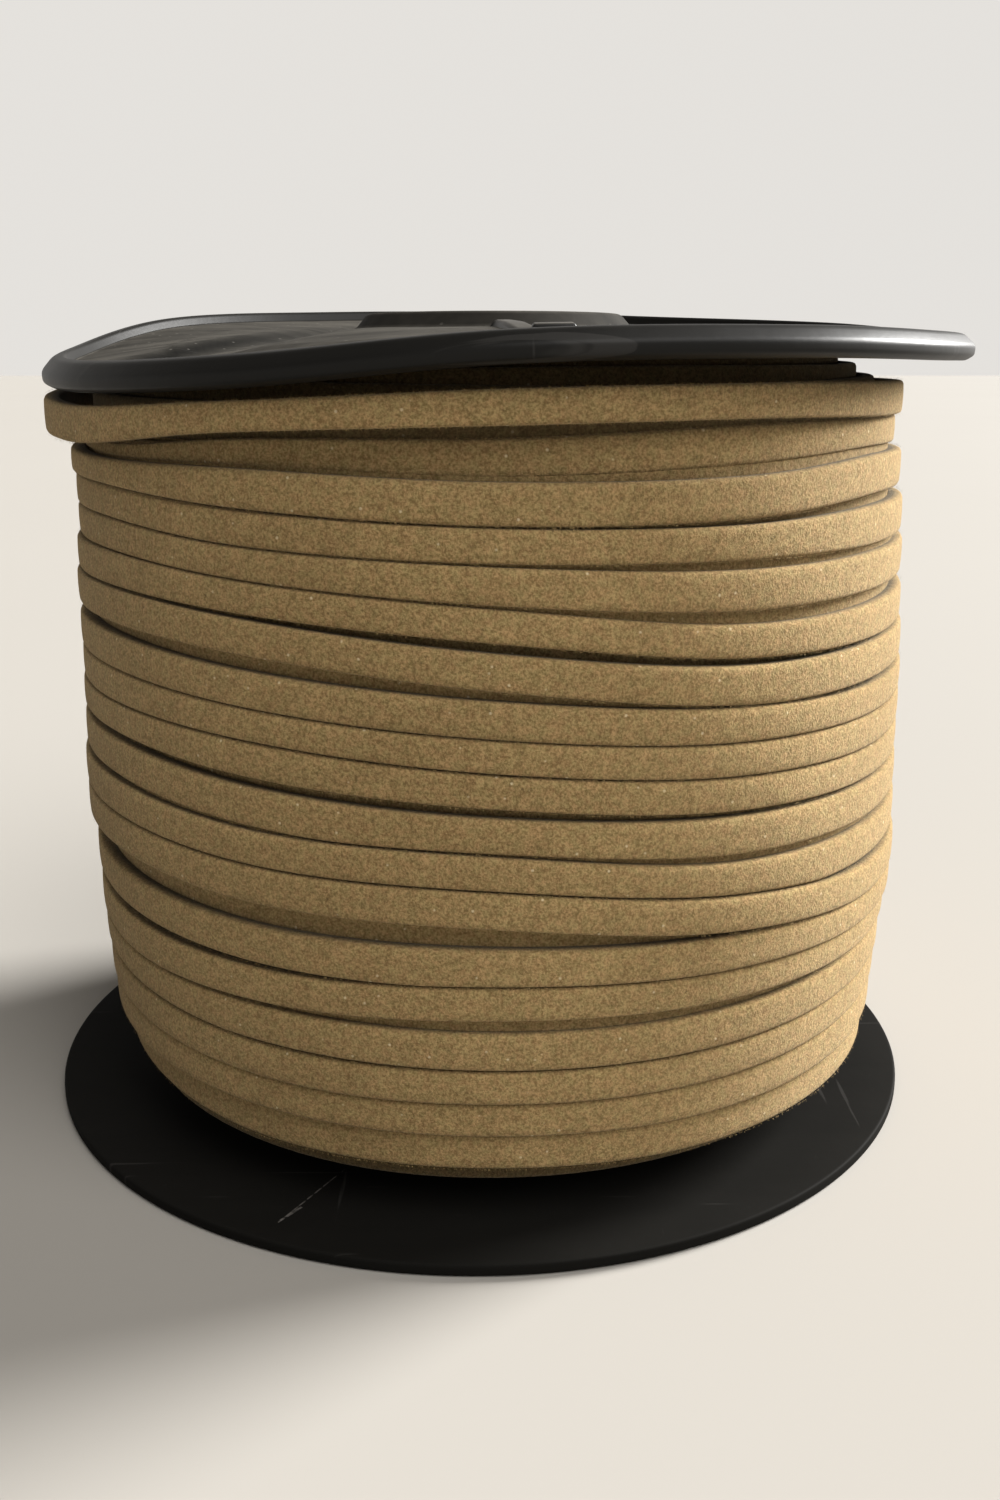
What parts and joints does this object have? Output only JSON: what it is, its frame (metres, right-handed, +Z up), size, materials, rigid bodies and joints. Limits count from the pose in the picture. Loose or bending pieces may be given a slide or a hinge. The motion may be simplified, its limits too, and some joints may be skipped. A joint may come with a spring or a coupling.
{
  "type": "suede cord on a flanged spool",
  "caption": "Flat tan suede cord wound in level turns on a black plastic spool with two thin flanges, the upper one warped.",
  "frame": {"origin": "on the spool's axis at the underside of the lower flange, which stands on the surface", "axes": "+Z up along the spool's axis, -Y towards the viewer of the picture, +X to the viewer's right"},
  "size_m": [0.0861, 0.084, 0.0736],
  "materials": {
    "suede": "short matt nap, fine mottled grain",
    "flange_plastic": "black, satin, dusty, lightly scratched",
    "core_plastic": "black, plain"
  },
  "bodies": {
    "root": {"winding": "suede", "flange_top": "flange_plastic", "flange_bottom": "flange_plastic", "core_tube": "core_plastic"}
  },
  "joints": []
}
